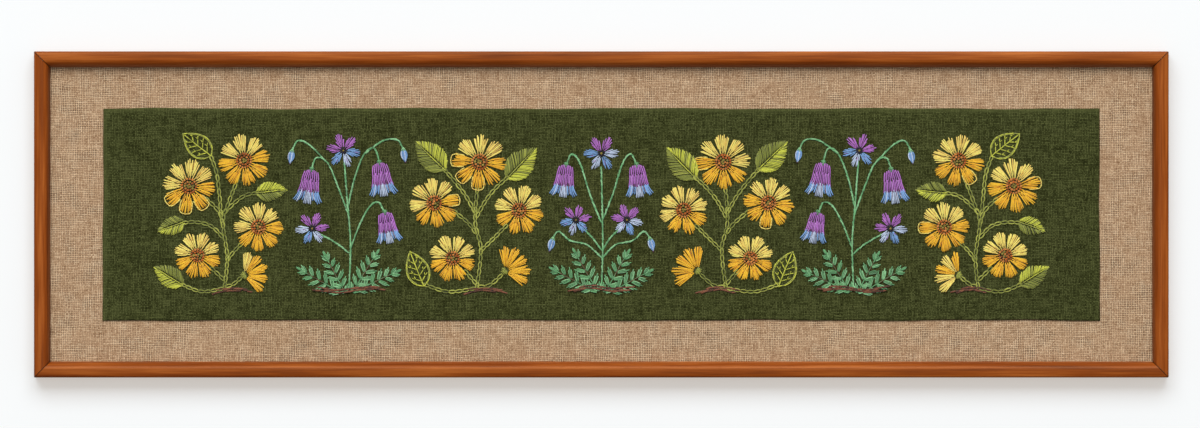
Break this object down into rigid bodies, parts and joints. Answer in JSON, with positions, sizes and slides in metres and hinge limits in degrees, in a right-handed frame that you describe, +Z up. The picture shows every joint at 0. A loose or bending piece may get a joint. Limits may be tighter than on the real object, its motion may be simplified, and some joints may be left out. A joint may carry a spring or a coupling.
{
  "type": "embroidered linen panel in a wooden picture frame",
  "caption": "Long flower panel stitched on green linen, mounted on natural linen in a slim mitred wooden frame that hangs flat on a wall.",
  "frame": {"origin": "middle of the top rail's back face, where a hanger is fixed", "axes": "+Z up, +X to the viewer's right, -Y out of the front towards the viewer, +Y into the wall"},
  "size_m": [0.8, 0.016, 0.23],
  "materials": {
    "frame_wood": "satin oiled reddish hardwood, grain along each rail",
    "backing_board": "plain matt board",
    "natural_linen": "uneven plain weave, undyed",
    "green_linen": "uneven plain weave, dyed dark olive green",
    "yellow_thread": "stranded thread, soft sheen",
    "violet_thread": "stranded thread, soft sheen",
    "blue_thread": "stranded thread, soft sheen",
    "leaf_thread": "stranded thread, soft sheen",
    "fern_thread": "stranded thread, soft sheen"
  },
  "bodies": {
    "root": {"backing_board": "backing_board", "bell_left_bell_1": "violet_thread", "bell_left_bell_2": "violet_thread", "bell_left_bell_3": "violet_thread", "bell_left_bud_1": "blue_thread", "bell_left_bud_2": "blue_thread", "bell_left_foliage": "fern_thread", "bell_left_star_1": "violet_thread", "bell_left_star_2": "violet_thread", "bell_right_bell_1": "violet_thread", "bell_right_bell_2": "violet_thread", "bell_right_bell_3": "violet_thread", "bell_right_bud_1": "blue_thread", "bell_right_bud_2": "blue_thread", "bell_right_foliage": "fern_thread", "bell_right_star_1": "violet_thread", "bell_right_star_2": "violet_thread", "green_linen": "green_linen", "inner_left_daisy_1": "yellow_thread", "inner_left_daisy_2": "yellow_thread", "inner_left_daisy_3": "yellow_thread", "inner_left_daisy_4": "yellow_thread", "inner_left_foliage": "leaf_thread", "inner_left_half_daisy_1": "yellow_thread", "inner_right_daisy_1": "yellow_thread", "inner_right_daisy_2": "yellow_thread", "inner_right_daisy_3": "yellow_thread", "inner_right_daisy_4": "yellow_thread", "inner_right_foliage": "leaf_thread", "inner_right_half_daisy_1": "yellow_thread", "linen_ground": "natural_linen", "middle_bell_1": "violet_thread", "middle_bell_2": "violet_thread", "middle_bud_1": "blue_thread", "middle_bud_2": "blue_thread", "middle_foliage": "fern_thread", "middle_star_1": "violet_thread", "middle_star_2": "violet_thread", "middle_star_3": "violet_thread", "outer_left_daisy_1": "yellow_thread", "outer_left_daisy_2": "yellow_thread", "outer_left_daisy_3": "yellow_thread", "outer_left_daisy_4": "yellow_thread", "outer_left_foliage": "leaf_thread", "outer_left_half_daisy_1": "yellow_thread", "outer_right_daisy_1": "yellow_thread", "outer_right_daisy_2": "yellow_thread", "outer_right_daisy_3": "yellow_thread", "outer_right_daisy_4": "yellow_thread", "outer_right_foliage": "leaf_thread", "outer_right_half_daisy_1": "yellow_thread", "rail_bottom": "frame_wood", "rail_left": "frame_wood", "rail_right": "frame_wood", "rail_top": "frame_wood"}
  },
  "joints": []
}
